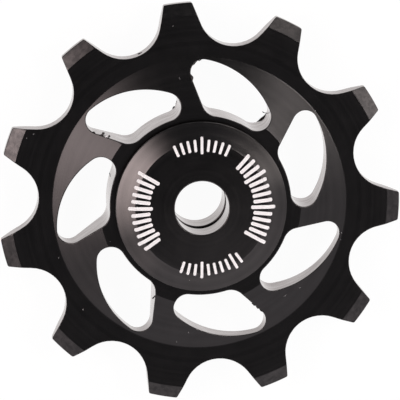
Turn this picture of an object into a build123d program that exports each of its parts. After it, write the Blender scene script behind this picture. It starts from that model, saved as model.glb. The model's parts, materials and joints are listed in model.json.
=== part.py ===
"""Derailleur jockey wheel: a toothed wheel on a sealed ball bearing, with a cap on each side.

Millimetres. +Z is the spin axis. The origin is the centre of the axle bore, on the wheel's mid-plane.
"""
from build123d import *
from math import radians, sin
import os

# Chain and teeth
chain_pitch = 12.7
tooth_count = 11
tooth_gap_phase = 14.0
roller_seat_radius = 4.2
tooth_flank_angle = 16.6
tip_radius = 23.05
tip_corner_radius = 0.25
tip_bevel_width = 1.45
tip_thickness = 0.9
ring_thickness = 2.2

# Hub and web of the toothed wheel
hub_radius = 11.5
hub_width = 5.9
web_outer_radius = 16.85
web_blend_radius = 1.2
seat_lip_width = 0.6

# Swept windows in the web
window_count = 7
window_phase = 47.7
window_inner_radius = 10.4
window_sweep_radius = 9.85
window_sweep_offset = 6.95
window_side_offset = 4.36
window_side_angle = 78.0
window_heel_radius = 1.85
window_toe_radius = 1.6
window_tip_radius = 1.5

# Caps
axle_bore_radius = 3.1
cap_radius = 9.8
cap_face_radius = 7.6
cap_bevel_drop = 0.85
cap_flange_thickness = 1.5
cap_shoulder_width = 0.9
cap_edge_chamfer = 0.12
sleeve_gap = 1.4

# Sealed ball bearing
bearing_bore_radius = 4.0
bearing_outer_radius = 8.0
bearing_width = 5.0
bearing_edge_chamfer = 0.25
ball_count = 9
ball_diameter = 2.381
race_depth = 0.38
cage_floor = 0.45
cage_prong_height = 0.55
cage_relief_width = 0.8
cage_relief_depth = 0.9
seal_thickness = 0.3
seal_recess = 0.2
seal_groove_depth = 0.3
seal_lip_width = 0.35
seal_lip_drop = 0.12

# Clearances and running gaps
seat_clearance = 0.01
sleeve_clearance = 0.01
cap_running_gap = 0.25
race_clearance = 0.05
cage_wall_clearance = 0.15
cage_pocket_clearance = 0.08
seal_groove_clearance = 0.02
seal_lip_clearance = 0.12

# Sizes that follow from the ones above
pitch_radius = chain_pitch / (2 * sin(radians(180 / tooth_count)))
gap_flank_angle = tooth_flank_angle + 180 / tooth_count
gap_flank_length = 2 * (tip_radius - pitch_radius + roller_seat_radius)
hub_half_width = hub_width / 2
ring_half_thickness = ring_thickness / 2
bearing_half_width = bearing_width / 2
seat_radius = bearing_outer_radius + seat_clearance
seat_depth = hub_half_width + bearing_half_width
sleeve_radius = bearing_bore_radius - sleeve_clearance
cap_shoulder_radius = bearing_bore_radius + cap_shoulder_width
flange_bottom = hub_half_width + cap_running_gap
flange_top = flange_bottom + cap_flange_thickness
ball_radius = ball_diameter / 2
ball_pitch_radius = (bearing_bore_radius + bearing_outer_radius) / 2
race_radius = ball_radius + race_clearance
inner_shoulder_radius = ball_pitch_radius - ball_radius + race_depth
outer_shoulder_radius = ball_pitch_radius + ball_radius - race_depth
cage_inner_radius = inner_shoulder_radius + cage_wall_clearance
cage_outer_radius = outer_shoulder_radius - cage_wall_clearance
cage_pocket_radius = ball_radius + cage_pocket_clearance
cage_bottom = -(cage_pocket_radius + cage_floor)
seal_top = bearing_half_width - seal_recess
seal_bottom = seal_top - seal_thickness
seal_groove_radius = outer_shoulder_radius + seal_groove_depth
seal_outer_radius = seal_groove_radius - seal_groove_clearance
seal_inner_radius = inner_shoulder_radius + seal_lip_clearance

# One tooth gap, on +X: a roller seat on the pitch circle that opens out along two straight flanks
with BuildSketch() as tooth_gap:
    with BuildLine():
        roller_seat = CenterArc(
            (pitch_radius, 0), roller_seat_radius, 90 + gap_flank_angle, 180 - 2 * gap_flank_angle
        )
        left_flank = PolarLine(roller_seat @ 0, gap_flank_length, gap_flank_angle)
        right_flank = PolarLine(roller_seat @ 1, gap_flank_length, -gap_flank_angle)
        Line(left_flank @ 1, right_flank @ 1)
    make_face()

# The tooth outline: the tip circle less the gaps, with the tip corners rounded
with BuildSketch() as tooth_outline:
    Circle(tip_radius)
    with PolarLocations(0, tooth_count, start_angle=tooth_gap_phase):
        add(tooth_gap.sketch, mode=Mode.SUBTRACT)
    fillet(tooth_outline.vertices().group_by(SortBy.DISTANCE)[-1], tip_corner_radius)

# One window: between the hub circle and an off-centre sweep circle, closed by a straight side.
# Its heel and toe are the corners on the hub circle, and its tip is the outermost corner.
with BuildSketch() as window:
    with Locations((window_sweep_offset, 0)):
        Circle(window_sweep_radius)
    Circle(window_inner_radius, mode=Mode.SUBTRACT)
    with Locations(Location((0, 0, 0), (0, 0, -window_side_angle))):
        with Locations((window_side_offset, 0)):
            Rectangle(
                tip_radius, 2 * tip_radius, align=(Align.MIN, Align.CENTER), mode=Mode.INTERSECT
            )
    hub_corners = window.vertices().group_by(SortBy.DISTANCE)[0].sort_by(Axis.Y)
    fillet(hub_corners[-1], window_heel_radius)
    fillet(window.vertices().sort_by(Axis.Y)[0], window_toe_radius)
    fillet(window.vertices().sort_by(SortBy.DISTANCE)[-1], window_tip_radius)

# Toothed wheel: a turned blank, bored for the bearing, cut to the tooth outline and windowed
with BuildPart() as toothed_wheel:
    with BuildSketch(Plane.XZ) as blank_section:
        with BuildLine():
            upper_half = Polyline(
                (0, hub_half_width),
                (hub_radius, hub_half_width),
                (web_outer_radius, ring_half_thickness),
                (tip_radius - tip_bevel_width, ring_half_thickness),
                (tip_radius, tip_thickness / 2),
            )
            mirror(upper_half, about=Plane.XZ)
            Line((tip_radius, tip_thickness / 2), (tip_radius, -tip_thickness / 2))
            Line((0, hub_half_width), (0, -hub_half_width))
        make_face()
        fillet(blank_section.vertices().group_by(Axis.X)[2], web_blend_radius)
    revolve(axis=Axis.Z)
    with Locations((0, 0, hub_half_width)):
        CounterBoreHole(seat_radius - seat_lip_width, seat_radius, seat_depth)
    extrude(tooth_outline.sketch, amount=hub_width, both=True, mode=Mode.INTERSECT)
    with BuildSketch():
        with PolarLocations(0, window_count, start_angle=window_phase):
            add(window.sketch)
    extrude(amount=hub_width, both=True, mode=Mode.SUBTRACT)
toothed_wheel.part.label = "toothed_wheel"

# Front cap: a sleeve into the bearing, a shoulder on its inner ring, and a bevelled flange over the hub
with BuildPart() as front_cap:
    with BuildSketch(Plane.XZ) as cap_section:
        with BuildLine():
            Polyline(
                (axle_bore_radius, sleeve_gap / 2),
                (sleeve_radius, sleeve_gap / 2),
                (sleeve_radius, bearing_half_width),
                (cap_shoulder_radius, bearing_half_width),
                (cap_shoulder_radius, flange_bottom),
                (cap_radius, flange_bottom),
                (cap_radius, flange_top - cap_bevel_drop),
                (cap_face_radius, flange_top),
                (axle_bore_radius, flange_top),
                close=True,
            )
        make_face()
        chamfer(cap_section.vertices().group_by(Axis.X)[0], cap_edge_chamfer)
    revolve(axis=Axis.Z)
front_cap.part.label = "front_cap"

# Rear cap: the front cap turned over
with BuildPart() as rear_cap:
    mirror(front_cap.part, about=Plane.XY)
rear_cap.part.label = "rear_cap"

# Bearing outer ring: raceway inside, with a groove for each seal
with BuildPart() as bearing_outer_ring:
    with BuildSketch(Plane.XZ) as outer_ring_section:
        with Locations((outer_shoulder_radius, 0)):
            Rectangle(
                bearing_outer_radius - outer_shoulder_radius, bearing_width, align=(Align.MIN, Align.CENTER)
            )
        chamfer(outer_ring_section.vertices().group_by(Axis.X)[-1], bearing_edge_chamfer)
        with Locations((ball_pitch_radius, 0)):
            Circle(race_radius, mode=Mode.SUBTRACT)
        with Locations((outer_shoulder_radius, seal_bottom), (outer_shoulder_radius, -seal_top)):
            Rectangle(
                seal_groove_depth, seal_thickness, align=(Align.MIN, Align.MIN), mode=Mode.SUBTRACT
            )
    revolve(axis=Axis.Z)
bearing_outer_ring.part.label = "bearing_outer_ring"

# Bearing inner ring: raceway outside
with BuildPart() as bearing_inner_ring:
    with BuildSketch(Plane.XZ) as inner_ring_section:
        with Locations((bearing_bore_radius, 0)):
            Rectangle(
                inner_shoulder_radius - bearing_bore_radius, bearing_width, align=(Align.MIN, Align.CENTER)
            )
        chamfer(inner_ring_section.vertices().group_by(Axis.X)[0], bearing_edge_chamfer)
        with Locations((ball_pitch_radius, 0)):
            Circle(race_radius, mode=Mode.SUBTRACT)
    revolve(axis=Axis.Z)
bearing_inner_ring.part.label = "bearing_inner_ring"

# Front seal: a thin washer held in the outer ring's groove, with a lip turned in towards the balls
with BuildPart() as front_seal:
    with BuildSketch(Plane.XZ):
        with BuildLine():
            Polyline(
                (seal_inner_radius, seal_bottom - seal_lip_drop),
                (seal_inner_radius + seal_lip_width, seal_bottom),
                (seal_outer_radius, seal_bottom),
                (seal_outer_radius, seal_top),
                (seal_inner_radius + seal_lip_width, seal_top),
                (seal_inner_radius, seal_top - seal_lip_drop),
                close=True,
            )
        make_face()
    revolve(axis=Axis.Z)
front_seal.part.label = "front_seal"

# Rear seal: the front seal turned over
with BuildPart() as rear_seal:
    mirror(front_seal.part, about=Plane.XY)
rear_seal.part.label = "rear_seal"

# Ball cage: a crown with a round pocket for each ball, and a relief between each pair of prongs
with BuildPart() as ball_cage:
    with BuildSketch(Plane.XY.offset(cage_bottom)):
        Circle(cage_outer_radius)
        Circle(cage_inner_radius, mode=Mode.SUBTRACT)
    extrude(amount=cage_prong_height - cage_bottom)
    with PolarLocations(ball_pitch_radius, ball_count):
        Sphere(cage_pocket_radius, mode=Mode.SUBTRACT)
    with BuildSketch(Plane.XY.offset(cage_prong_height)):
        with PolarLocations(ball_pitch_radius, ball_count, start_angle=180 / ball_count):
            Rectangle(2 * (cage_outer_radius - cage_inner_radius), cage_relief_width)
    extrude(amount=-cage_relief_depth, mode=Mode.SUBTRACT)
ball_cage.part.label = "ball_cage"

# Balls, one in each pocket
balls = []
for number, place in enumerate(PolarLocations(ball_pitch_radius, ball_count).locations, start=1):
    with BuildPart() as ball:
        with Locations(place):
            Sphere(ball_radius)
    ball.part.label = f"ball_{number}"
    balls.append(ball)

os.makedirs("parts", exist_ok=True)
export_step(toothed_wheel.part, "parts/toothed_wheel.step")
export_step(front_cap.part, "parts/front_cap.step")
export_step(rear_cap.part, "parts/rear_cap.step")
export_step(bearing_outer_ring.part, "parts/bearing_outer_ring.step")
export_step(bearing_inner_ring.part, "parts/bearing_inner_ring.step")
export_step(front_seal.part, "parts/front_seal.step")
export_step(rear_seal.part, "parts/rear_seal.step")
export_step(ball_cage.part, "parts/ball_cage.step")
for ball in balls:
    export_step(ball.part, f"parts/{ball.part.label}.step")
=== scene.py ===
"""Derailleur jockey wheel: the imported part, dressed with its finishes and set in a plain studio.

Sizes named here are millimetres and degrees, and the meshes are metres. +Z is the spin axis, and the
wheel lies on its rear cap. Seen along the axis a point is one complex number, so a turn about the axis
is a product.
"""
import bmesh
import bpy
import json
import numpy as np
from mathutils import Matrix, Vector

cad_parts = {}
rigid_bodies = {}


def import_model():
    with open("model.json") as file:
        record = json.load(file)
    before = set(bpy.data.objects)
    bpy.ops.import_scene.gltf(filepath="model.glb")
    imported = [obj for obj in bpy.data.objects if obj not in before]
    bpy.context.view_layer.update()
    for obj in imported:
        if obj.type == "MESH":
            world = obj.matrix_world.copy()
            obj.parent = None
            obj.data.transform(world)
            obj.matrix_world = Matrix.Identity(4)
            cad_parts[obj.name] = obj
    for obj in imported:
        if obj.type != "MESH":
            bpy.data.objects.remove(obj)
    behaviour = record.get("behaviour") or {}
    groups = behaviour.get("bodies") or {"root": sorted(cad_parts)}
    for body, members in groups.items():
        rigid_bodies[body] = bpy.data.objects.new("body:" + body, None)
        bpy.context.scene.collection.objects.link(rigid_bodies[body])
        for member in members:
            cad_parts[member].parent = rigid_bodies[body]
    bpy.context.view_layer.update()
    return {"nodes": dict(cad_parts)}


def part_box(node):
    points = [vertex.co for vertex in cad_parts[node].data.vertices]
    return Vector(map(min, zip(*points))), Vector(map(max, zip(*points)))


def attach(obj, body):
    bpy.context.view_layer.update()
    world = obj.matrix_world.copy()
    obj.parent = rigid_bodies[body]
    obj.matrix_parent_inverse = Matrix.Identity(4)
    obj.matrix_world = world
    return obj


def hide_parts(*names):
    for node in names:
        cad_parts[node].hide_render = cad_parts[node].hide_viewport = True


for leftover in list(bpy.data.objects):
    bpy.data.objects.remove(leftover)
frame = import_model()

MM = 0.001

# Radians, as are the pitches and columns that are worked out from it
FULL_TURN = 2 * np.pi

# Teeth
CHAIN_PITCH = 12.7
TOOTH_COUNT = 11
TOOTH_GAP_PHASE = 14.2
ROLLER_SEAT_RADIUS = 4.15
TOOTH_FLANK_ANGLE = 16.2
TIP_RADIUS = 23.05
TIP_CORNER_RADIUS = 0.25
TIP_BEVEL_WIDTH = 1.45
TIP_HALF_THICKNESS = 0.45
RING_HALF_THICKNESS = 1.1
PITCH_RADIUS = CHAIN_PITCH / (2 * np.sin(np.pi / TOOTH_COUNT))
TOOTH_PITCH = FULL_TURN / TOOTH_COUNT

# Hub, web and bearing seat
HUB_RADIUS = 11.5
HUB_HALF_WIDTH = 2.95
WEB_OUTER_RADIUS = 16.85
WEB_BLEND_RADIUS = 0.4
SEAT_RADIUS = 8.01
SEAT_LIP_RADIUS = 7.41
SEAT_LIP_THICKNESS = 0.45

# Windows
WINDOW_COUNT = 7
WINDOW_PHASE = 47.7
WINDOW_INNER_RADIUS = 10.4
WINDOW_SWEEP_RADIUS = 9.85
WINDOW_SWEEP_OFFSET = 6.95
WINDOW_SIDE_OFFSET = 4.36
WINDOW_SIDE_ANGLE = 78.0
WINDOW_HEEL_RADIUS = 1.85
WINDOW_TOE_RADIUS = 1.6
WINDOW_TIP_RADIUS = 1.5
WINDOW_PITCH = FULL_TURN / WINDOW_COUNT

# Caps
BORE_RADIUS = 3.1
SLEEVE_RADIUS = 3.99
SLEEVE_END = 0.7
SHOULDER_RADIUS = 4.9
SHOULDER_HEIGHT = 2.5
CAP_RADIUS = 9.8
CAP_FACE_RADIUS = 7.6
CAP_FACE_DROP = 0.15
CAP_BEVEL_DROP = 0.85
FLANGE_BOTTOM = 3.2
FLANGE_TOP = 4.7

# Broken edges: how far each kind of sharp corner is rounded off
RIM_EDGE = 0.05
WINDOW_EDGE = 0.09
TURNED_EDGE = 0.12
CREASE_EDGE = 0.15

# Index marks etched on the front cap: ticks every few degrees on four arcs, longer at the main steps. A
# tick's ends close over a share of its width, and another share of its width is flat on top. Each arc has
# its first and last turn, and its ticks' middle radius, length and width.
TICK_STEP = 6
LONG_TICK_STEP = 30
LONG_TICK_EXTRA = 0.6
TICK_END_SHARE = 0.35
TICK_FLAT_SHARE = 0.85
TICK_RISE = 0.012
TICK_DEPTH = 0.03
TICK_ARCS = [
    (66, 114, 7.2, 1.4, 0.32),
    (150, 216, 7.0, 2.2, 0.42),
    (252, 306, 7.2, 1.4, 0.32),
    (-30, 48, 7.0, 2.2, 0.42),
]

# Burrs that the cutter left on the edges of the windows and teeth. Each has half its thickness and the
# points that it leans along: turn, radius and level, which is 1 at the front edge of the wall under it
# and -1 at the rear edge.
BURRS = {
    "long_curl": (
        0.1,
        [(51.0, 11.0, -1), (49.6, 11.4, -1), (49.9, 12.0, -1), (50.1, 12.5, -1), (49.0, 12.95, -1)],
    ),
    "curl_fork": (0.045, [(49.8, 12.6, -1), (51.2, 12.35, -0.95), (52.6, 12.4, -0.95)]),
    "toe_flake": (0.05, [(101.0, 11.5, -1), (101.9, 11.12, -1), (102.5, 10.95, -1)]),
    "toe_crumb": (0.07, [(103.2, 10.8, -1), (104.2, 10.72, -1), (105.0, 10.58, -1)]),
    "side_crumb": (0.13, [(144.6, 13.95, 1), (142.7, 13.85, 1), (142.2, 13.78, 1)]),
    "side_flake": (0.08, [(145.0, 14.3, 1), (144.2, 13.95, 1), (143.2, 13.48, 1)]),
    "side_end": (0.11, [(143.7, 13.12, 1), (142.2, 13.12, 1), (141.6, 13.2, 1)]),
    "side_hair": (0.06, [(145.8, 15.0, 1), (144.4, 14.75, 1), (145.4, 14.5, 1)]),
    "tip_scrap": (0.13, [(94.4, 15.1, 1), (93.5, 14.8, 1), (93.2, 14.45, 1), (93.9, 14.05, 1)]),
    "tip_flake": (0.06, [(93.3, 15.85, 1), (92.0, 16.15, 1), (90.9, 16.42, 1)]),
    "tip_crumb": (0.05, [(90.6, 16.45, 1), (89.9, 16.42, 1), (89.2, 16.55, 1)]),
    "heel_notch": (0.09, [(243.7, 11.55, 1), (243.1, 11.85, 1), (242.9, 12.15, 1)]),
    "hub_nick": (0.05, [(64.6, 10.33, 1), (63.8, 10.42, 1), (63.1, 10.36, 1)]),
    "gap_flake": (0.05, [(112.2, 18.42, -0.2), (111.1, 18.45, -0.1), (110.1, 18.42, 0)]),
    "arc_scratch": (0.035, [(163.6, 10.42, -1), (164.0, 10.42, -0.7), (164.6, 10.4, -0.3)]),
    "wave_a": (0.06, [(297.1, 12.95, 1), (297.4, 13.25, 1), (297.9, 13.5, 1)]),
    "wave_b": (0.05, [(298.1, 13.6, 1), (298.3, 13.85, 1), (298.7, 14.05, 1)]),
    "wave_c": (0.05, [(298.9, 14.15, 1), (299.1, 14.4, 1), (299.5, 14.6, 1)]),
}

# Lint on the front face, given in the same way as the burrs
LINT = {
    "tooth_speck": (0.075, [(156.8, 20.62, 1), (156.3, 20.66, 1)]),
    "tooth_dot": (0.05, [(158.8, 21.15, 1), (158.3, 21.2, 1)]),
    "arm_fibre": (0.06, [(99.1, 14.85, 1), (99.2, 14.7, 1), (98.9, 14.5, 1)]),
    "ring_fibre": (0.04, [(200.5, 17.3, 1), (200.9, 17.2, 1), (201.3, 17.3, 1)]),
    "web_speck": (0.06, [(264.9, 15.0, 1), (265.3, 15.15, 1)]),
    "web_dot": (0.05, [(260.5, 16.3, 1), (261.0, 16.4, 1)]),
    "web_fibre": (0.045, [(311.4, 14.6, 1), (312.2, 14.7, 1), (312.9, 14.65, 1)]),
    "web_hair": (0.03, [(318.6, 15.2, 1), (319.4, 15.35, 1)]),
    "tip_speck": (0.06, [(38.5, 16.8, 1), (38.1, 16.95, 1)]),
    "edge_speck": (0.06, [(347.2, 16.7, 1), (346.8, 16.84, 1)]),
    "edge_dot": (0.05, [(344.5, 16.82, 1), (344.1, 16.92, 1)]),
}

# Scraps torn to the bare metal, given in the same way as the burrs
CHIPS = {
    "side_chip": (0.1, [(143.9, 13.48, 1), (142.5, 13.38, 1), (142.5, 13.26, 1)]),
}

# A scrap's height as a share of its width, how fast its knots follow each other, in radians over its
# length, and how much they swell it
SLIVER_FLATNESS = 0.7
SLIVER_KNOT_WAVE = 11
SLIVER_KNOT_SWELL = 0.3

# Fineness of the meshes: points on curves and rounded corners, levels of a wall's rows as shares of its
# height, columns and rows, the least room between them, and how near to each other points become one
CURVE_POINTS = 200
ROUND_STEPS = 5
CORNER_POINTS = ROUND_STEPS + 2
WALL_LEVELS = (0.94, 0.5, 0.0)
COLUMNS_PER_GAP = 52
COLUMNS_PER_WINDOW = 38
CAP_COLUMNS = 256
TICK_ROWS = 33
SLIVER_ROWS = 20
SLIVER_COLUMNS = 8
LEAST_COLUMN = np.radians(0.03)
EDGE_HAIR = 0.03
ROW_STEP = 0.004
WELD_DISTANCE = 0.001

# Camera, as worked out from the photograph's circles
IMAGE_SIDE = 400
CAMERA_TILT = 11.57
CAMERA_TURN = 115.3
CAMERA_DISTANCE = 724
CAMERA_AIM_HEIGHT = -0.35
FOCAL_PIXELS = 6325
SENSOR_WIDTH = 36
AIM_RIGHT_PIXELS = -1.8
AIM_DOWN_PIXELS = 0.2

# Anodised skin: the clear coat on faces and the most of it on cut walls, a wall's roughness as a share of
# a face's, and how far the bore counts as a wall
FACE_COAT = 0.4
WALL_COAT = 0.75
WALL_ROUGHNESS_SHARE = 0.45
BORE_SHARE = 0.8
SKIN_TINT = (1, 0.93, 0.92, 1)

# Uneven anodising: the shares of the dye and of the roughness from patch to patch, how fine the score
# lines on walls are along X, Y and Z, and the share of thin dye between and on them
DYE_SHARES = (0.82, 1.18)
ROUGHNESS_SHARES = (0.88, 1.12)
SCORE_FINENESS = (0.25, 0.25, 1.0)
SCORE_THINNESS = (0.35, 1.0)

# Tooth bevels: where their thin dye sets in and is full, counted from the bevel's start, and how thin it
# gets
TIP_THINNESS_START = -0.05
TIP_THINNESS_FULL = 0.1
TIP_THINNESS = 0.42

# Dye of the wheel and the caps, dye where it is thin, and what shows where it is rubbed or dusty
WHEEL_DYE = (0.0248, 0.023, 0.023)
CAP_DYE = (0.0432, 0.04, 0.0392)
THIN_DYE = (0.07, 0.064, 0.063)
RUBBED_DYE = (0.16, 0.152, 0.148)
DUST = (0.29, 0.28, 0.27)

# The other finishes: metals and lint from their darker to their paler patches, then the moulded pieces and
# the dust on them
BEARING_STEEL = ((0.5, 0.49, 0.47), (0.64, 0.63, 0.61))
BALL_STEEL = ((0.6, 0.6, 0.59), (0.7, 0.7, 0.69))
FROSTED_METAL = ((0.85, 0.84, 0.83), (0.95, 0.945, 0.94))
TORN_DYE = ((0.01, 0.009, 0.009), (0.056, 0.05, 0.048))
LINT_GREY = ((0.08, 0.078, 0.08), (0.27, 0.265, 0.265))
CAGE_NYLON = (0.62, 0.58, 0.48)
SEAL_RUBBER = (0.02, 0.02, 0.021)
MOULDING_DUST = (0.4, 0.39, 0.37)

# Soft noise runs from 0 to 1. These are its usual span, the span that makes clear blotches, the span that
# makes score lines, and the spans over which wear and tip streaks set in.
NOISE = (0.3, 0.7)
BLOTCHES = (0.35, 0.65)
SCORES = (0.4, 0.6)
WEAR = (0.42, 0.68)
TIP_STREAKS = (0.42, 0.64)

# Floor: its width, its glow and its grey where it is seen, and its grey for the light that it throws back
FLOOR_WIDTH = 3000
FLOOR_GLOW = 0.955
FLOOR_SEEN_GREY = 0.056
FLOOR_GREY = 0.8

# Soft boxes: tilt from the axis and turn round it, half the angles that they span across and upwards,
# radiance at the middle, and tint
LAMP_DISTANCE = 450
WARM = (1, 0.87, 0.86)
WARM_LOW = (1, 0.86, 0.84)
WARM_RIGHT = (1, 0.94, 0.92)
LAMPS = {
    "left_lamp": (36.2, 158.4, 24.7, 15.2, 7.45, WARM),
    "left_fill_lamp": (41.9, 187.5, 26, 7.9, 6.8, WARM),
    "low_left_lamp": (49.9, 231, 16, 6.4, 1.2, WARM_LOW),
    "right_lamp": (56.2, 16.7, 17.5, 23, 3.6, WARM_RIGHT),
    "far_right_lamp": (53.2, 57, 23, 10.2, 5.8, WARM_RIGHT),
    "upper_right_lamp": (29.2, 22, 14, 6, 22, WARM_RIGHT),
}

# The white backdrop round the table: how far up from the horizon it is white and where it ends, as sines
# of the angle over the horizon
BACKDROP_TOP = 0.06
BACKDROP_END = 0.12

# The room's light by how far a direction leans to the near right of the table and down, from 0 to 1
NEAR_SIDE = (0.25, -0.795, -0.55)
ROOM_LIGHT = [
    (0.08, (0.16, 0.16, 0.17)),
    (0.25, (0.067, 0.069, 0.075)),
    (0.31, (0.067, 0.069, 0.075)),
    (0.4, (0.64, 0.61, 0.635)),
    (0.6, (0.875, 0.83, 0.865)),
    (0.75, (1.01, 0.965, 0.99)),
]


# Curves seen along the axis. Each is a pair of arrays: points, and unit normals towards the open side.


def turned_by(degrees):
    """The complex number that turns a point about the axis by that angle."""
    return np.exp(1j * np.radians(degrees))


def degrees_of(point):
    """How far a point is turned about the axis from +X."""
    return np.degrees(np.angle(point))


def arc(centre, radius, start, end, side):
    """Part of a circle from one angle to another. Side is 1 where the open side is outside the circle,
    and otherwise -1."""
    spoke = turned_by(np.linspace(start, end, CURVE_POINTS))
    return centre + radius * spoke, side * spoke


def straight(start, end, normal):
    """A straight stretch, with one normal all along it."""
    return np.linspace(start, end, CURVE_POINTS), np.full(CURVE_POINTS, normal)


def chain(*stretches):
    """Stretches laid end to end; each starts where the one before it ends."""
    return tuple(
        np.concatenate([stretches[0][part][:1]] + [stretch[part][1:] for stretch in stretches])
        for part in (0, 1)
    )


def tooth_gap():
    """One tooth gap about +X, from the middle of a tooth to the middle of the next. Half of it goes
    from the bottom of the gap round the roller seat, up a straight flank, over the tip's corner and
    along the tip; the other half is its mirror image."""
    half_pitch = 180 / TOOTH_COUNT
    lean = TOOTH_FLANK_ANGLE + half_pitch
    along = turned_by(lean)
    into_tooth = 1j * along
    start = PITCH_RADIUS + (ROLLER_SEAT_RADIUS + TIP_CORNER_RADIUS) * into_tooth
    slant = (start * np.conj(along)).real
    reach = np.sqrt(slant**2 - abs(start) ** 2 + (TIP_RADIUS - TIP_CORNER_RADIUS) ** 2) - slant
    corner = start + reach * along
    flank_start = PITCH_RADIUS + ROLLER_SEAT_RADIUS * into_tooth
    flank_end = corner - TIP_CORNER_RADIUS * into_tooth
    half = chain(
        arc(PITCH_RADIUS, ROLLER_SEAT_RADIUS, 180, 90 + lean, -1),
        straight(flank_start, flank_end, -into_tooth),
        arc(corner, TIP_CORNER_RADIUS, lean - 90, degrees_of(corner), 1),
        arc(0, TIP_RADIUS, degrees_of(corner), half_pitch, 1),
    )
    return tuple(np.concatenate([np.conj(part[:0:-1]), part]) for part in half)


def window_arms():
    """One window as two curves, both from its toe end to its tip end. The near arm follows the hub
    circle, the heel and the straight side; the far arm follows the toe and the off-centre sweep circle
    to the rounded tip."""
    into = turned_by(-WINDOW_SIDE_ANGLE)
    along = 1j * into
    sweep = WINDOW_SWEEP_OFFSET
    heel_reach = WINDOW_INNER_RADIUS + WINDOW_HEEL_RADIUS
    heel_depth = WINDOW_SIDE_OFFSET + WINDOW_HEEL_RADIUS
    heel = heel_depth * into + np.sqrt(heel_reach**2 - heel_depth**2) * along
    tip_start = (WINDOW_SIDE_OFFSET + WINDOW_TIP_RADIUS) * into - sweep
    slant = (tip_start * np.conj(along)).real
    tip_reach = WINDOW_SWEEP_RADIUS - WINDOW_TIP_RADIUS
    tip = sweep + tip_start + (np.sqrt(slant**2 - abs(tip_start) ** 2 + tip_reach**2) - slant) * along
    toe_reach = WINDOW_INNER_RADIUS + WINDOW_TOE_RADIUS
    toe_x = (toe_reach**2 - (WINDOW_SWEEP_RADIUS - WINDOW_TOE_RADIUS) ** 2 + sweep**2) / (2 * sweep)
    toe = toe_x - 1j * np.sqrt(toe_reach**2 - toe_x**2)
    side_angle = 180 - WINDOW_SIDE_ANGLE
    points, normals = chain(
        arc(0, WINDOW_INNER_RADIUS, degrees_of(toe), degrees_of(heel), 1),
        arc(heel, WINDOW_HEEL_RADIUS, degrees_of(heel) + 180, side_angle, -1),
        straight(heel - WINDOW_HEEL_RADIUS * into, tip - WINDOW_TIP_RADIUS * into, into),
        arc(tip, WINDOW_TIP_RADIUS, side_angle, degrees_of(tip - sweep), -1),
        arc(sweep, WINDOW_SWEEP_RADIUS, degrees_of(tip - sweep), degrees_of(toe - sweep), -1),
        arc(toe, WINDOW_TOE_RADIUS, degrees_of(toe - sweep), degrees_of(toe) - 180, -1),
    )
    points, normals = points[:-1], normals[:-1]
    face_turn = np.angle(on_face((points, normals), WINDOW_EDGE))
    toe_end = np.argmin(face_turn)
    points, normals = np.roll(points, -toe_end), np.roll(normals, -toe_end)
    tip_end = (np.argmax(face_turn) - toe_end) % len(points)
    near = points[: tip_end + 1], normals[: tip_end + 1]
    far = tuple(np.append(part[tip_end:], part[0])[::-1] for part in (points, normals))
    return near, far


def on_face(curve, edge):
    """The curve drawn back from its edge, to where the face's rounded-off corner starts."""
    return curve[0] - edge * curve[1]


def at_turns(curve, turns, edge):
    """The curve's points and normals where its line on the face passes those angles."""
    place = np.arange(len(curve[0]))
    step = np.interp(turns, np.angle(on_face(curve, edge)), place)
    return tuple(np.interp(step, place, part) for part in curve)


# Sections, drawn as complex numbers: radius, and height along the axis.


def rounded(corners, radii):
    """A closed section through corners, with an arc of its own radius at each, and a point a hair
    beyond each end of the arc, which keeps the flats flat when they are shaded smooth."""
    corners, radii = np.array(corners, complex), np.array(radii)
    before = corners - np.roll(corners, 1)
    before /= abs(before)
    after = np.roll(before, -1)
    turn = np.angle(after / before)
    trim = radii * np.tan(abs(turn) / 2)
    start = corners - trim * before
    swing = np.exp(1j * np.outer(turn, np.linspace(0, 1, ROUND_STEPS))) - 1
    curve = start[:, None] - (1j * np.sign(turn) * radii * before)[:, None] * swing
    ends = [(start - EDGE_HAIR * before)[:, None], (corners + (trim + EDGE_HAIR) * after)[:, None]]
    return np.concatenate([ends[0], curve, ends[1]], 1).ravel()


# How much each row of a rounded corner shows as an edge
EDGE_ROWS = np.concatenate([[0], np.sin(np.linspace(0, np.pi, ROUND_STEPS)), [0]])

WHEEL_TURNINGS = [
    HUB_RADIUS + 1j * HUB_HALF_WIDTH,
    WEB_OUTER_RADIUS + 1j * RING_HALF_THICKNESS,
    TIP_RADIUS - TIP_BEVEL_WIDTH + 1j * RING_HALF_THICKNESS,
]
WHEEL_ENDS = [1j * HUB_HALF_WIDTH, TIP_RADIUS + 1j * TIP_HALF_THICKNESS]
WHEEL_SECTION = rounded(
    [WHEEL_ENDS[0], *WHEEL_TURNINGS, WHEEL_ENDS[1]], [0, CREASE_EDGE, WEB_BLEND_RADIUS, CREASE_EDGE, 0]
)[CORNER_POINTS:-CORNER_POINTS]

CAP_SECTION = rounded(
    [
        BORE_RADIUS + 1j * FLANGE_TOP,
        CAP_FACE_RADIUS + 1j * (FLANGE_TOP - CAP_FACE_DROP),
        CAP_RADIUS + 1j * (FLANGE_TOP - CAP_FACE_DROP - CAP_BEVEL_DROP),
        CAP_RADIUS + 1j * FLANGE_BOTTOM,
        SHOULDER_RADIUS + 1j * FLANGE_BOTTOM,
        SHOULDER_RADIUS + 1j * SHOULDER_HEIGHT,
        SLEEVE_RADIUS + 1j * SHOULDER_HEIGHT,
        SLEEVE_RADIUS + 1j * SLEEVE_END,
        BORE_RADIUS + 1j * SLEEVE_END,
    ],
    [TURNED_EDGE, CREASE_EDGE] + [TURNED_EDGE] * 7,
)


def wheel_height(radius):
    """Height of the wheel's front face over the mid-plane at that radius."""
    section = np.concatenate([WHEEL_ENDS[:1], WHEEL_SECTION, WHEEL_ENDS[1:]])
    return np.interp(radius, section.real, section.imag)


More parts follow.
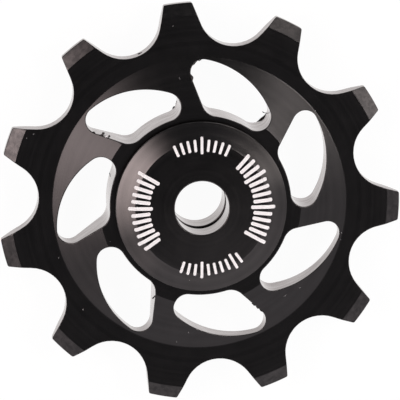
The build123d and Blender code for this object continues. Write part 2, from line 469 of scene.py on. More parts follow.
def cap_height(radius):
    """Height of the front cap's face and bevel over the mid-plane at that radius, from the section's
    first three corners."""
    top = CAP_SECTION[: 3 * CORNER_POINTS]
    return np.interp(radius, top.real, top.imag)


# Meshes


def solid_points(plan, height):
    """Points in space from complex plan positions and heights."""
    plan, height = np.broadcast_arrays(plan, height)
    return np.stack([plan.real, plan.imag, height], -1)


def grid_quads(rows, columns, first):
    """Quads of a grid of points stored row by row, from the point numbered first. Each row closes on
    itself."""
    across = np.arange(columns)
    down = np.arange(rows - 1)[:, None] * columns
    here, there = down + across, down + (across + 1) % columns
    return first + np.stack([here, here + columns, there + columns, there], -1).reshape(-1, 4)


def new_piece(name, grids, finish, masks=None):
    """One mesh piece from grids of points, rows by columns by 3, whose rows times columns point
    outwards. Points that meet become one. Masks are values at the points, by name, with one array for
    each grid."""
    points = np.concatenate([grid.reshape(-1, 3) for grid in grids]) * MM
    firsts = np.cumsum([0] + [grid.shape[0] * grid.shape[1] for grid in grids])
    quads = [grid_quads(*grid.shape[:2], first) for grid, first in zip(grids, firsts)]
    mesh = bpy.data.meshes.new(name)
    mesh.from_pydata(points, [], np.concatenate(quads))
    for mask, values in (masks or {}).items():
        layer = mesh.attributes.new(mask, "FLOAT", "POINT")
        layer.data.foreach_set("value", np.concatenate([value.ravel() for value in values]))
    work = bmesh.new()
    work.from_mesh(mesh)
    bmesh.ops.remove_doubles(work, verts=work.verts, dist=WELD_DISTANCE * MM)
    work.to_mesh(mesh)
    work.free()
    mesh.shade_smooth()
    mesh.materials.append(finish)
    piece = bpy.data.objects.new(name, mesh)
    bpy.context.scene.collection.objects.link(piece)
    return piece


def spaced_columns(needed, wished):
    """Angles in one turn: each needed one, and the wished ones that leave room beside them."""
    needed = np.unique(needed % FULL_TURN)
    wished = np.unique(np.round(wished % FULL_TURN / LEAST_COLUMN)) * LEAST_COLUMN
    gaps = abs(wished[:, None] - needed)
    free = np.minimum(gaps, FULL_TURN - gaps).min(1) > LEAST_COLUMN
    return np.sort(np.concatenate([needed, wished[free]]))


def face_rows(low, high, stations):
    """Radii of a face's rows between two edges. Each edge has a row and another a hair inside it; the
    stations lie between, pushed together where an edge cuts across them."""
    order = np.arange(1, len(stations) + 1)[:, None] * ROW_STEP
    held = np.clip(stations[:, None], low + EDGE_HAIR + order, high - EDGE_HAIR - order[::-1])
    return np.concatenate([[low], [low + EDGE_HAIR], held, [high - EDGE_HAIR], [high]])


def cut_edge(points, normals, edge):
    """The front half of a cut edge, carried along its outline: a quarter round from the face to the
    wall, then the wall down to the mid-plane."""
    swing = np.linspace(0, np.pi / 2, ROUND_STEPS)[:, None]
    plan = points - edge * (1 - np.sin(swing)) * normals
    height = wheel_height(abs(plan)) - edge * (1 - np.cos(swing))
    wall = height[-1] * np.array(WALL_LEVELS)[:, None]
    return np.concatenate([solid_points(plan, height), solid_points(points, wall)])


def milled_wheel(finish):
    """The wheel's skin. Seen along the axis each column is a spoke: it leaves the bearing seat, stops
    at the near arm of a window, goes on from the far arm and ends at the rim, and between windows the
    two stretches meet. Its height is the turned section's. Cut edges follow the rim and the windows
    down to the mid-plane. The rear half is the front half turned over, and the stepped bearing seat
    joins the two."""
    gap = tooth_gap()
    near, far = window_arms()
    gap_phase, window_phase = np.radians(TOOTH_GAP_PHASE), np.radians(WINDOW_PHASE)
    near_face, far_face = on_face(near, WINDOW_EDGE), on_face(far, WINDOW_EDGE)
    near_turn, far_turn = np.angle(near_face), np.angle(far_face)
    toe_turn, tip_turn = near_turn[0], near_turn[-1]
    windows = WINDOW_PITCH * np.arange(WINDOW_COUNT)[:, None] + window_phase
    gaps = TOOTH_PITCH * np.arange(TOOTH_COUNT)[:, None] + gap_phase
    bunching = 0.5 - 0.5 * np.cos(np.linspace(0, np.pi, COLUMNS_PER_WINDOW))
    bunched = toe_turn + (tip_turn - toe_turn) * bunching
    picked = np.linspace(0, len(gap[0]) - 1, COLUMNS_PER_GAP).astype(int)
    gap_turn = np.angle(on_face(gap, RIM_EDGE))[picked]
    wished = np.concatenate([(windows + bunched).ravel(), (gaps + gap_turn).ravel()])
    columns = spaced_columns((windows + [toe_turn, tip_turn]).ravel(), wished)

    tiny = 1e-9
    in_window = (columns - window_phase - toe_turn + tiny) % WINDOW_PITCH + toe_turn - tiny
    in_gap = (columns - gap_phase + TOOTH_PITCH / 2) % TOOTH_PITCH - TOOTH_PITCH / 2
    beyond = toe_turn + WINDOW_PITCH
    near_radius, far_radius = abs(near_face), abs(far_face)
    near_edge = np.interp(in_window, np.append(near_turn, beyond), np.append(near_radius, near_radius[0]))
    far_edge = np.interp(in_window, np.append(far_turn, beyond), np.append(far_radius, far_radius[0]))
    rim = [part * np.exp(1j * (columns - in_gap)) for part in at_turns(gap, in_gap, RIM_EDGE)]
    rim_edge = abs(on_face(rim, RIM_EDGE))

    edges = [cut_edge(*rim, RIM_EDGE)]
    for start in windows:
        of_this = abs(np.angle(np.exp(1j * (columns - in_window - start)))) < tiny * 100
        turns = np.sort(in_window[of_this & (in_window < tip_turn + tiny)])
        arms = zip(at_turns(near, turns, WINDOW_EDGE), at_turns(far, turns[-2:0:-1], WINDOW_EDGE))
        outline = [np.concatenate(arm) * np.exp(1j * start) for arm in arms]
        edges.append(cut_edge(*outline, WINDOW_EDGE))

    spokes = np.exp(1j * columns)
    hub_stations = WHEEL_SECTION.real[:CORNER_POINTS]
    rim_stations = WHEEL_SECTION.real[CORNER_POINTS:]

    def faces(seat_edge):
        """Both stretches of all the spokes, which start at that edge of the bearing seat."""
        inner = face_rows(np.full(len(columns), seat_edge), near_edge, hub_stations)
        outer = face_rows(far_edge, rim_edge, rim_stations)
        return [solid_points(rows * spokes, wheel_height(rows)) for rows in (inner, outer)]

    seat_profile = np.array([
        SEAT_LIP_RADIUS + TURNED_EDGE - 1j * HUB_HALF_WIDTH,
        SEAT_LIP_RADIUS - 1j * (HUB_HALF_WIDTH - TURNED_EDGE),
        SEAT_LIP_RADIUS - 1j * (HUB_HALF_WIDTH - SEAT_LIP_THICKNESS),
        SEAT_RADIUS - 1j * (HUB_HALF_WIDTH - SEAT_LIP_THICKNESS),
        SEAT_RADIUS + 1j * (HUB_HALF_WIDTH - TURNED_EDGE),
        SEAT_RADIUS + TURNED_EDGE + 1j * HUB_HALF_WIDTH,
    ])[:, None]
    seat = solid_points(seat_profile.real * spokes, seat_profile.imag)
    front = faces(SEAT_RADIUS + TURNED_EDGE) + edges
    rear = [grid[:, ::-1] * [1, 1, -1] for grid in faces(SEAT_LIP_RADIUS + TURNED_EDGE) + edges]
    grids = front + rear + [seat]
    round_rows = np.append(EDGE_ROWS[1:-1], np.zeros(len(WALL_LEVELS)))
    wall_rows = np.append(np.linspace(0, 1, ROUND_STEPS) ** 2, np.ones(len(WALL_LEVELS)))
    is_edge = ([False] * 2 + [True] * len(edges)) * 2 + [False]

    def mask(rows):
        """These values row by row on the cut edges, and 0 on the other grids."""
        return [
            np.broadcast_to(rows[:, None] if edge else 0.0, grid.shape[:2])
            for grid, edge in zip(grids, is_edge)
        ]

    masks = {"edge": mask(round_rows), "milled": mask(wall_rows)}
    return new_piece("milled_wheel", grids, finish, masks)


def turned_cap(name, side, finish):
    """A cap: its rounded section carried once round the axis. Side is 1 for the front cap, -1 for the
    rear. Its bore counts as a cut wall."""
    spokes = turned_by(np.arange(CAP_COLUMNS) * 360 / CAP_COLUMNS)
    section = np.append(CAP_SECTION, CAP_SECTION[0])[:, None]
    grid = solid_points(section.real * spokes, section.imag)[:, ::side] * [1, 1, side]
    corner_rows = np.append(np.tile(EDGE_ROWS, len(CAP_SECTION) // CORNER_POINTS), 0)[:, None]
    bore_rows = np.where(np.isclose(section.real, BORE_RADIUS), BORE_SHARE, 0.0)
    rows = {"edge": corner_rows, "milled": bore_rows}
    masks = {mask: [np.broadcast_to(values, grid.shape[:2])] for mask, values in rows.items()}
    return new_piece(name, [grid], finish, masks)


def index_ticks(finish):
    """The front cap's index marks. Each is a flat bar carried along a radius: its section is a low box
    with broken corners, whose width closes in quarter ellipses at both ends, and it follows the cap's
    face and bevel. Its sides go under the skin, and its top stands a hair above it."""
    across = np.array([-1, -1, -TICK_FLAT_SHARE, TICK_FLAT_SHARE, 1, 1])
    rise = np.array([-TICK_DEPTH, TICK_RISE / 2, TICK_RISE, TICK_RISE, TICK_RISE / 2, -TICK_DEPTH])
    along = np.sin(np.linspace(-np.pi / 2, np.pi / 2, TICK_ROWS))[:, None]
    grids = []
    for first, last, middle, length, width in TICK_ARCS:
        for turn in range(first, last + 1, TICK_STEP):
            half = (length + (0 if turn % LONG_TICK_STEP else LONG_TICK_EXTRA)) / 2
            from_end = (half * (1 - abs(along)) / (width * TICK_END_SHARE)).clip(0, 1)
            bar = middle + half * along + 1j * width / 2 * np.sqrt(1 - (1 - from_end) ** 2) * across
            grids.append(solid_points(bar * turned_by(turn), cap_height(abs(bar)) + rise))
    return new_piece("index_ticks", grids, finish)


def smooth_path(points, steps):
    """A curve from the first point to the last that leans towards those between: neighbours are mixed,
    from one to the other along the curve, until a single curve is left."""
    share = np.linspace(0, 1, steps)[:, None]
    while len(points) > 1:
        points = [(1 - share) * start + share * end for start, end in zip(points, points[1:])]
    return points[0]


def sliver(half_thickness, places):
    """A scrap of metal or lint: a small ellipse that swells and thins along a smooth path, with a few
    knots, and closes to a point at both ends."""
    turn, radius, level = np.array(places).T
    points = solid_points(radius * turned_by(turn), level * wheel_height(radius))
    path = smooth_path(list(points), SLIVER_ROWS)
    forwards = np.gradient(path, axis=0)
    forwards /= np.linalg.norm(forwards, axis=1, keepdims=True)
    sideways = np.cross(forwards, [0, 0, 1])
    sideways /= np.linalg.norm(sideways, axis=1, keepdims=True)
    upwards = np.cross(sideways, forwards)
    share = np.linspace(0, 1, SLIVER_ROWS)
    knots = 1 + SLIVER_KNOT_SWELL * np.sin(SLIVER_KNOT_WAVE * share + radius[0])
    swell = half_thickness * np.sqrt(np.sin(np.pi * share).clip(0)) * knots
    swing = np.linspace(0, FULL_TURN, SLIVER_COLUMNS, endpoint=False)[:, None]
    ring = np.cos(swing) * sideways[:, None] + SLIVER_FLATNESS * np.sin(swing) * upwards[:, None]
    return path[:, None] + swell[:, None, None] * ring


def slivers(name, scraps, finish):
    """One piece with all the scraps of a kind."""
    return new_piece(name, [sliver(*scrap) for scrap in scraps.values()], finish)


# Shader nodes

# Places of the mix node's sockets for colours
MIX_SHARE = 0
MIX_FIRST = 6
MIX_SECOND = 7
MIX_RESULT = 2


def add_node(tree, kind, **inputs):
    """A new node of that kind. Its inputs, by name or as _number, get plain values or links from
    outputs."""
    node = tree.nodes.new(kind)
    for name, value in inputs.items():
        socket = node.inputs[int(name[1:])] if name[0] == "_" else node.inputs[name.replace("_", " ")]
        if isinstance(value, bpy.types.NodeSocket):
            tree.links.new(value, socket)
        else:
            socket.default_value = value
    return node


def math_node(tree, operation, *values):
    """The output of a math node on these values or outputs."""
    node = add_node(tree, "ShaderNodeMath", **{f"_{i}": value for i, value in enumerate(values)})
    node.operation = operation
    return node.outputs[0]


def vector_math(tree, operation, *values, output="Vector"):
    """An output of a vector math node on these values or outputs."""
    node = add_node(tree, "ShaderNodeVectorMath", **{f"_{i}": value for i, value in enumerate(values)})
    node.operation = operation
    return node.outputs[output]


def spread(tree, value, low, high, to_low=0.0, to_high=1.0):
    """A value between low and high, spread over another range and held inside it."""
    node = add_node(tree, "ShaderNodeMapRange", _0=value, _1=low, _2=high, _3=to_low, _4=to_high)
    return node.outputs[0]


def mix_colour(tree, share, first, second):
    """Two colours, mixed by a share from 0 to 1."""
    node = tree.nodes.new("ShaderNodeMix")
    node.data_type = "RGBA"
    for index, value in ((MIX_SHARE, share), (MIX_FIRST, first), (MIX_SECOND, second)):
        if isinstance(value, bpy.types.NodeSocket):
            tree.links.new(value, node.inputs[index])
        else:
            node.inputs[index].default_value = (*value, 1)
    return node.outputs[MIX_RESULT]


def place_in_mm(tree):
    """Where a point is on its piece, in millimetres."""
    place = add_node(tree, "ShaderNodeTexCoord").outputs["Object"]
    return vector_math(tree, "MULTIPLY", place, (1 / MM, 1 / MM, 1 / MM))


def from_axis(tree):
    """How far a point is from the spin axis, in millimetres."""
    spoke = vector_math(tree, "MULTIPLY", place_in_mm(tree), (1, 1, 0))
    return vector_math(tree, "LENGTH", spoke, output="Value")


def noise(tree, place, size, detail):
    """Soft noise, 0 to 1, in patches of about the size that an output gives."""
    fineness = math_node(tree, "DIVIDE", 1.0, size)
    return add_node(tree, "ShaderNodeTexNoise", Vector=place, Scale=fineness, Detail=detail).outputs[0]


def new_group(name, inputs, outputs):
    """An empty shader node group, with its tree, its inputs, which have usual values, and its outputs."""
    tree = bpy.data.node_groups.new(name, "ShaderNodeTree")
    for label, value in inputs.items():
        tree.interface.new_socket(label, in_out="INPUT", socket_type="NodeSocketFloat").default_value = value
    for label in outputs:
        tree.interface.new_socket(label, in_out="OUTPUT", socket_type="NodeSocketFloat")
    return tree, tree.nodes.new("NodeGroupInput").outputs, tree.nodes.new("NodeGroupOutput").inputs


def use_group(tree, group, **values):
    """A node group placed in a material with its own values. Gives its outputs."""
    node = tree.nodes.new("ShaderNodeGroup")
    node.node_tree = group
    for name, value in values.items():
        node.inputs[name.replace("_", " ").capitalize()].default_value = value
    return node.outputs


def turning_marks():
    """Rings that a lathe tool leaves: noise along the radius alone, fine for the height and broad for
    the tone."""
    usual = {"Line width": 0.1, "Band width": 0.6}
    tree, inputs, outputs = new_group("Turning marks", usual, ["Height", "Tone"])
    radius = from_axis(tree)
    for width, output, detail in (("Line width", "Height", 3.0), ("Band width", "Tone", 2.0)):
        rings = add_node(tree, "ShaderNodeTexNoise", Scale=1.0, Detail=detail)
        rings.noise_dimensions = "1D"
        tree.links.new(math_node(tree, "DIVIDE", radius, inputs[width]), rings.inputs["W"])
        tree.links.new(rings.outputs[0], outputs[output])
    return tree


def surface_mottle():
    """Uneven colour and fine grain: soft noise at two sizes."""
    usual = {"Patch size": 1.5, "Grain size": 0.08}
    tree, inputs, outputs = new_group("Surface mottle", usual, ["Tone", "Grain"])
    place = place_in_mm(tree)
    tree.links.new(noise(tree, place, inputs["Patch size"], 3.0), outputs["Tone"])
    tree.links.new(noise(tree, place, inputs["Grain size"], 1.0), outputs["Grain"])
    return tree


def handling_dust():
    """Specks of dust: the middles of scattered cells, each with its own size, and only a share of the
    cells."""
    usual = {"Spacing": 1.6, "Speck size": 0.1, "Share": 0.3}
    tree, inputs, outputs = new_group("Handling dust", usual, ["Mask"])
    fineness = math_node(tree, "DIVIDE", 1.0, inputs["Spacing"])
    cells = add_node(tree, "ShaderNodeTexVoronoi", Vector=place_in_mm(tree), Scale=fineness)
    lot = add_node(tree, "ShaderNodeSeparateColor", Color=cells.outputs["Color"]).outputs
    largest = math_node(tree, "MULTIPLY", inputs["Speck size"], fineness)
    reach = math_node(tree, "MULTIPLY", largest, lot[1])
    speck = math_node(tree, "LESS_THAN", cells.outputs["Distance"], reach)
    chosen = math_node(tree, "LESS_THAN", lot[0], inputs["Share"])
    tree.links.new(math_node(tree, "MULTIPLY", speck, chosen), outputs["Mask"])
    return tree


def edge_wear():
    """Corners rubbed paler in patches: the piece's edge value where soft noise runs high."""
    usual = {"Patch size": 0.9, "Amount": 0.6}
    tree, inputs, outputs = new_group("Edge wear", usual, ["Mask"])
    edge = tree.nodes.new("ShaderNodeAttribute")
    edge.attribute_name = "edge"
    patches = spread(tree, noise(tree, place_in_mm(tree), inputs["Patch size"], 3.0), *WEAR)
    worn = math_node(tree, "MULTIPLY", edge.outputs["Fac"], patches)
    tree.links.new(math_node(tree, "MULTIPLY", worn, inputs["Amount"]), outputs["Mask"])
    return tree


TURNING_MARKS = turning_marks()
SURFACE_MOTTLE = surface_mottle()
HANDLING_DUST = handling_dust()
EDGE_WEAR = edge_wear()


# Finishes


def new_finish(name, **values):
    """A material with one shader, whose plain values are set here. Gives the material, its tree and
    the shader."""
    material = bpy.data.materials.new(name)
    material.use_nodes = True
    tree = material.node_tree
    tree.nodes.clear()
    shader = add_node(tree, "ShaderNodeBsdfPrincipled", **values)
    add_node(tree, "ShaderNodeOutputMaterial", Surface=shader.outputs[0])
    return material, tree, shader


def shades(colour, low, high):
    """A darker and a paler shade of one colour."""
    return tuple(part * low for part in colour), tuple(part * high for part in colour)


def add_bump(tree, shader, height, depth):
    """Relief of that depth, in millimetres, on the shader's normal."""
    bump = add_node(tree, "ShaderNodeBump", Height=height, Distance=depth * MM, Strength=1.0)
    tree.links.new(bump.outputs[0], shader.inputs["Normal"])


def cut_walls(tree):
    """1 on the walls that an end mill or a reamer cut, and 0 on turned faces, from the piece's own
    value."""
    milled = tree.nodes.new("ShaderNodeAttribute")
    milled.attribute_name = "milled"
    return milled.outputs["Fac"]


def black_anodise(name, dye, roughness, line_width, depth, thinned=None):
    """Dyed, sealed aluminium: a dark metal under a clear skin, with tool rings, uneven dye, rubbed
    corners and dust. Cut walls are smoother and scored along the cutter's path instead, with less dye
    and more skin in streaks. Thinned makes, in the tree, a mask of other places where the dye is thin.
    Gives the material, its tree, the shader and the roughness."""
    material, tree, shader = new_finish(name, Coat_Roughness=roughness, Specular_Tint=SKIN_TINT)
    mottle = use_group(tree, SURFACE_MOTTLE, patch_size=1.8, grain_size=0.07)
    rings = use_group(tree, TURNING_MARKS, line_width=line_width, band_width=0.55)
    worn = use_group(tree, EDGE_WEAR, patch_size=0.9, amount=0.55)["Mask"]
    dust = use_group(tree, HANDLING_DUST, spacing=1.5, speck_size=0.1, share=0.16)["Mask"]
    both_tones = math_node(tree, "ADD", mottle["Tone"], rings["Tone"])
    uneven = math_node(tree, "MULTIPLY", both_tones, 0.5)
    walls = cut_walls(tree)
    along_path = vector_math(tree, "MULTIPLY", place_in_mm(tree), SCORE_FINENESS)
    scores = add_node(tree, "ShaderNodeTexNoise", Vector=along_path, Scale=1.2, Detail=3.0).outputs[0]
    colour = mix_colour(tree, spread(tree, uneven, *NOISE), *shades(dye, *DYE_SHARES))
    thin = math_node(tree, "MULTIPLY", walls, spread(tree, scores, *SCORES, *SCORE_THINNESS))
    if thinned:
        thin = math_node(tree, "MAXIMUM", thin, thinned(tree))
    colour = mix_colour(tree, thin, colour, THIN_DYE)
    colour = mix_colour(tree, worn, colour, RUBBED_DYE)
    colour = mix_colour(tree, dust, colour, DUST)
    tree.links.new(colour, shader.inputs["Base Color"])
    tree.links.new(math_node(tree, "SUBTRACT", 1.0, dust), shader.inputs["Metallic"])
    on_faces = spread(tree, uneven, *NOISE, *(roughness * share for share in ROUGHNESS_SHARES))
    on_walls = spread(tree, walls, 0.0, 1.0, 1.0, WALL_ROUGHNESS_SHARE)
    rough = math_node(tree, "MULTIPLY", on_faces, on_walls)
    tree.links.new(rough, shader.inputs["Roughness"])
    skin = math_node(tree, "MULTIPLY", walls, spread(tree, scores, *SCORES, 0.0, WALL_COAT - FACE_COAT))
    tree.links.new(math_node(tree, "ADD", FACE_COAT, skin), shader.inputs["Coat Weight"])
    grain = math_node(tree, "MULTIPLY", mottle["Grain"], 0.5)
    height = math_node(tree, "ADD", rings["Height"], grain)
    turned = math_node(tree, "SUBTRACT", 1.0, walls)
    add_bump(tree, shader, math_node(tree, "MULTIPLY", height, turned), depth)
    return material, tree, shader, rough


def streaked_tips(tree):
    """Where the dye is thin on the teeth's bevels: beyond the ring's edge, in streaks across the tip."""
    bevel_start = TIP_RADIUS - TIP_BEVEL_WIDTH
    ends = (bevel_start + TIP_THINNESS_START, bevel_start + TIP_THINNESS_FULL)
    bevel = spread(tree, from_axis(tree), *ends)
    place = place_in_mm(tree)
    streaks = add_node(tree, "ShaderNodeTexNoise", Vector=place, Scale=1.6, Detail=5.0, Distortion=0.6)
    thinness = spread(tree, streaks.outputs[0], *TIP_STREAKS, 0.0, TIP_THINNESS)
    return math_node(tree, "MULTIPLY", bevel, thinness)


def anodised_wheel():
    """The wheel's finish, with paler streaks on the teeth's bevels."""
    name = "Black anodised wheel"
    return black_anodise(name, WHEEL_DYE, 0.24, line_width=0.12, depth=0.0012, thinned=streaked_tips)[0]


def anodised_cap():
    """The cap's finish. Its flat face is faced off more coarsely than its bevel."""
    name = "Black anodised cap"
    material, tree, shader, rough = black_anodise(name, CAP_DYE, 0.19, line_width=0.07, depth=0.001)
    coarse = spread(tree, from_axis(tree), CAP_FACE_RADIUS, CAP_FACE_RADIUS - 0.2, 0.0, 0.04)
    tree.links.new(math_node(tree, "ADD", rough, coarse), shader.inputs["Roughness"])
    return material


def ground_steel(name, roughness, line_width):
    """Bright ground steel, with the fine rings of the grinding wheel and a faint uneven film of oil."""
    material, tree, shader = new_finish(name, Metallic=1.0)
    mottle = use_group(tree, SURFACE_MOTTLE, patch_size=2.2, grain_size=0.05)
    rings = use_group(tree, TURNING_MARKS, line_width=line_width, band_width=0.4)
    tree.links.new(mix_colour(tree, mottle["Tone"], *BEARING_STEEL), shader.inputs["Base Color"])
    uneven = spread(tree, rings["Tone"], *NOISE, roughness * 0.7, roughness * 1.3)
    tree.links.new(uneven, shader.inputs["Roughness"])
    add_bump(tree, shader, rings["Height"], 0.002)
    return material


def polished_steel():
    """Mirror-bright ball steel, with a faint haze of fine scratches."""
    material, tree, shader = new_finish("Polished ball steel", Metallic=1.0)
    mottle = use_group(tree, SURFACE_MOTTLE, patch_size=0.9, grain_size=0.04)
    tree.links.new(mix_colour(tree, mottle["Tone"], *BALL_STEEL), shader.inputs["Base Color"])
    tree.links.new(spread(tree, mottle["Grain"], *NOISE, 0.05, 0.12), shader.inputs["Roughness"])
    add_bump(tree, shader, mottle["Grain"], 0.0006)
    return material


def moulded(name, colour, roughness, depth):
    """Moulded nylon or rubber: an even colour with soft flow patches, fine grain and a little dust."""
    material, tree, shader = new_finish(name)
    mottle = use_group(tree, SURFACE_MOTTLE, patch_size=1.2, grain_size=0.06)
    dust = use_group(tree, HANDLING_DUST, spacing=1.1, speck_size=0.08, share=0.2)["Mask"]
    patched = mix_colour(tree, mottle["Tone"], *shades(colour, 0.85, 1.15))
    tree.links.new(mix_colour(tree, dust, patched, MOULDING_DUST), shader.inputs["Base Color"])
    uneven = spread(tree, mottle["Grain"], *NOISE, roughness - 0.08, roughness + 0.08)
    tree.links.new(uneven, shader.inputs["Roughness"])
    add_bump(tree, shader, mottle["Grain"], depth)
    return material


def etched_white():
    """Bare, frosted metal where marks are etched or a chip is torn through the dye: nearly white,
    faintly uneven."""
    material, tree, shader = new_finish("Etched white")
    mottle = use_group(tree, SURFACE_MOTTLE, patch_size=0.5, grain_size=0.05)
    tree.links.new(mix_colour(tree, mottle["Tone"], *FROSTED_METAL), shader.inputs["Base Color"])
    tree.links.new(spread(tree, mottle["Grain"], *NOISE, 0.5, 0.7), shader.inputs["Roughness"])
    add_bump(tree, shader, mottle["Grain"], 0.003)
    return material


def torn_metal():
    """Burrs: dyed with the wheel, but torn, so dull and blotchy."""
    material, tree, shader = new_finish("Torn burrs", Metallic=0.6)
    mottle = use_group(tree, SURFACE_MOTTLE, patch_size=0.25, grain_size=0.04)
    colour = mix_colour(tree, spread(tree, mottle["Tone"], *BLOTCHES), *TORN_DYE)
    tree.links.new(colour, shader.inputs["Base Color"])
    tree.links.new(spread(tree, mottle["Grain"], *NOISE, 0.45, 0.75), shader.inputs["Roughness"])
    add_bump(tree, shader, mottle["Grain"], 0.01)
    return material


def grey_lint():
    """Specks and short fibres of dust: dull grey, paler in patches."""
    material, tree, shader = new_finish("Grey lint")
    mottle = use_group(tree, SURFACE_MOTTLE, patch_size=0.2, grain_size=0.03)
    colour = mix_colour(tree, spread(tree, mottle["Tone"], *BLOTCHES), *LINT_GREY)
    tree.links.new(colour, shader.inputs["Base Color"])
    tree.links.new(spread(tree, mottle["Grain"], *NOISE, 0.75, 0.95), shader.inputs["Roughness"])
    add_bump(tree, shader, mottle["Grain"], 0.008)
    return material


# Studio


def direction(tilt, turn):
    """Unit vector tilted from +Z by tilt, towards turn round Z."""
    side = np.sin(np.radians(tilt)) * turned_by(turn)
    return Vector((side.real, side.imag, np.cos(np.radians(tilt))))


def white_when_seen(tree):
    """1 for what the camera sees directly, in a mirror-like finish or through glass, else 0."""
    path = add_node(tree, "ShaderNodeLightPath").outputs
    seen = math_node(tree, "MAXIMUM", path["Is Camera Ray"], path["Is Glossy Ray"])
    return math_node(tree, "MAXIMUM", seen, path["Is Transmission Ray"])


def pale_floor():
    """White where it is seen, with the object's soft shadow, and plain pale for the light that it
    throws back."""
    material = bpy.data.materials.new("Pale floor")
    material.use_nodes = True
    tree = material.node_tree
    tree.nodes.clear()
    glow = add_node(tree, "ShaderNodeEmission", Strength=FLOOR_GLOW)
    lit = add_node(tree, "ShaderNodeBsdfDiffuse", Color=(*[FLOOR_SEEN_GREY] * 3, 1))
    seen = add_node(tree, "ShaderNodeAddShader", _0=glow.outputs[0], _1=lit.outputs[0])
    pale = add_node(tree, "ShaderNodeBsdfDiffuse", Color=(*[FLOOR_GREY] * 3, 1))
    mixed = add_node(
        tree, "ShaderNodeMixShader", _0=white_when_seen(tree), _1=pale.outputs[0], _2=seen.outputs[0]
    )
    add_node(tree, "ShaderNodeOutputMaterial", Surface=mixed.outputs[0])
    return material


def floor():
    """A square under the rear cap's face."""
    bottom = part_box("rear_cap")[0].z
    square = np.array([[-1, -1, 0], [1, -1, 0], [1, 1, 0], [-1, 1, 0]])
    corners = FLOOR_WIDTH * MM / 2 * square + [0, 0, bottom]
    mesh = bpy.data.meshes.new("floor")
    mesh.from_pydata(corners, [], [(0, 1, 2, 3)])
    mesh.materials.append(pale_floor())
    plane = bpy.data.objects.new("floor", mesh)
    bpy.context.scene.collection.objects.link(plane)


def camera():
    """A long lens that looks down on the front face, tilted a little from the axis, with the world's
    +Y upwards."""
    towards = direction(CAMERA_TILT, CAMERA_TURN)
    right = Vector((0, 1, 0)).cross(towards).normalized()
    up = towards.cross(right)
    data = bpy.data.cameras.new("camera")
    data.sensor_width = SENSOR_WIDTH
    data.lens = FOCAL_PIXELS * SENSOR_WIDTH / IMAGE_SIDE
    data.shift_x = -AIM_RIGHT_PIXELS / IMAGE_SIDE
    data.shift_y = AIM_DOWN_PIXELS / IMAGE_SIDE
    eye = bpy.data.objects.new("camera", data)
    aim = Vector((0, 0, CAMERA_AIM_HEIGHT * MM))
    turned = Matrix((right, up, towards)).transposed().to_4x4()
    eye.matrix_world = Matrix.Translation(aim + CAMERA_DISTANCE * MM * towards) @ turned
    bpy.context.scene.collection.objects.link(eye)
    bpy.context.scene.camera = eye


def soft_lamp(name, tilt, turn, half_width, half_height, radiance, tint):
    """A soft box that faces the wheel from that direction and spans those angles each way from its
    middle, where its radiance is highest; it fades to nothing at its sides. Its power follows from its
    radiance and its size."""
    width, height = (2 * LAMP_DISTANCE * MM * np.tan(np.radians(half)) for half in (half_width, half_height))
    data = bpy.data.lights.new(name, "AREA")
    data.shape = "RECTANGLE"
    data.size = width
    data.size_y = height
    data.energy = radiance * np.pi * width * height
    data.color = tint
    data.use_nodes = True
    tree = data.node_tree
    tree.nodes.clear()
    spot = add_node(tree, "ShaderNodeNewGeometry").outputs["Parametric"]
    across, upwards = add_node(tree, "ShaderNodeSeparateXYZ", Vector=spot).outputs[:2]
    fades = [spread(tree, math_node(tree, "PINGPONG", part, 0.5), 0.0, 0.5) for part in (across, upwards)]
    for fade in fades:
        fade.node.interpolation_type = "SMOOTHSTEP"
    glow = add_node(tree, "ShaderNodeEmission", Strength=math_node(tree, "MULTIPLY", *fades))
    add_node(tree, "ShaderNodeOutputLight", Surface=glow.outputs[0])
    lamp = bpy.data.objects.new(name, data)
    towards = direction(tilt, turn)
    turned = towards.to_track_quat("Z", "Y").to_matrix().to_4x4()
    lamp.matrix_world = Matrix.Translation(LAMP_DISTANCE * MM * towards) @ turned
    bpy.context.scene.collection.objects.link(lamp)


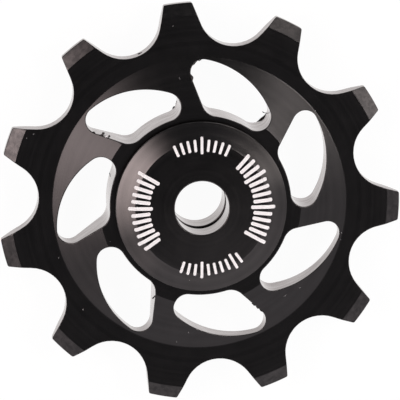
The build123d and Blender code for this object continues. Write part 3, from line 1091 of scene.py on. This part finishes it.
def studio_world():
    """A backdrop that is white where it is seen, up to a little over the horizon. Above it, and for
    all other light, a dim ceiling that is paler towards the near side of the table."""
    world = bpy.data.worlds.new("studio")
    world.use_nodes = True
    tree = world.node_tree
    tree.nodes.clear()
    towards = add_node(tree, "ShaderNodeTexCoord").outputs["Generated"]
    nearness = vector_math(tree, "DOT_PRODUCT", towards, NEAR_SIDE, output="Value")
    ramp = add_node(tree, "ShaderNodeValToRGB", Fac=math_node(tree, "MULTIPLY_ADD", nearness, 0.5, 0.5))
    ramp.color_ramp.interpolation = "EASE"
    stops = ramp.color_ramp.elements
    for position, _ in ROOM_LIGHT[1:-1]:
        stops.new(position)
    for stop, (position, light) in zip(stops, ROOM_LIGHT):
        stop.position = position
        stop.color = (*light, 1)
    surroundings = add_node(tree, "ShaderNodeBackground", Color=ramp.outputs["Color"])
    white = add_node(tree, "ShaderNodeBackground", Color=(1, 1, 1, 1))
    height = add_node(tree, "ShaderNodeSeparateXYZ", Vector=towards).outputs["Z"]
    backdrop = spread(tree, height, BACKDROP_TOP, BACKDROP_END, 1.0, 0.0)
    seen = math_node(tree, "MULTIPLY", white_when_seen(tree), backdrop)
    mixed = add_node(tree, "ShaderNodeMixShader", _0=seen, _1=surroundings.outputs[0], _2=white.outputs[0])
    add_node(tree, "ShaderNodeOutputWorld", Surface=mixed.outputs[0])
    bpy.context.scene.world = world


wheel_finish = anodised_wheel()
cap_finish = anodised_cap()
bearing_finish = ground_steel("Ground bearing steel", roughness=0.22, line_width=0.06)
ball_finish = polished_steel()
cage_finish = moulded("Moulded cage nylon", CAGE_NYLON, roughness=0.45, depth=0.004)
seal_finish = moulded("Seal rubber", SEAL_RUBBER, roughness=0.55, depth=0.006)
etched_finish = etched_white()

node_finishes = {
    "toothed_wheel": wheel_finish,
    "front_cap": cap_finish,
    "rear_cap": cap_finish,
    "bearing_outer_ring": bearing_finish,
    "bearing_inner_ring": bearing_finish,
    "ball_cage": cage_finish,
    "front_seal": seal_finish,
    "rear_seal": seal_finish,
}
for name, node in frame["nodes"].items():
    node.data.materials.clear()
    node.data.materials.append(node_finishes.get(name, ball_finish))

dressed = [
    (milled_wheel(wheel_finish), "toothed_wheel", "wheel", "wheel_anodised"),
    (turned_cap("turned_front_cap", 1, cap_finish), "front_cap", "hub", "cap_anodised"),
    (turned_cap("turned_rear_cap", -1, cap_finish), "rear_cap", "hub", "cap_anodised"),
]
for piece, node, body, slot in dressed:
    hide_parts(node)
    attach(piece, body)

added = [
    (index_ticks(etched_finish), "hub", "cap_anodised"),
    (slivers("edge_burrs", BURRS, torn_metal()), "wheel", "wheel_anodised"),
    (slivers("torn_chips", CHIPS, etched_finish), "wheel", "wheel_anodised"),
    (slivers("lint_specks", LINT, grey_lint()), "wheel", "wheel_anodised"),
]
for piece, body, slot in added:
    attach(piece, body)

camera()
floor()
for lamp_name, lamp_values in LAMPS.items():
    soft_lamp(lamp_name, *lamp_values)
studio_world()
bpy.context.scene.view_settings.view_transform = "Standard"
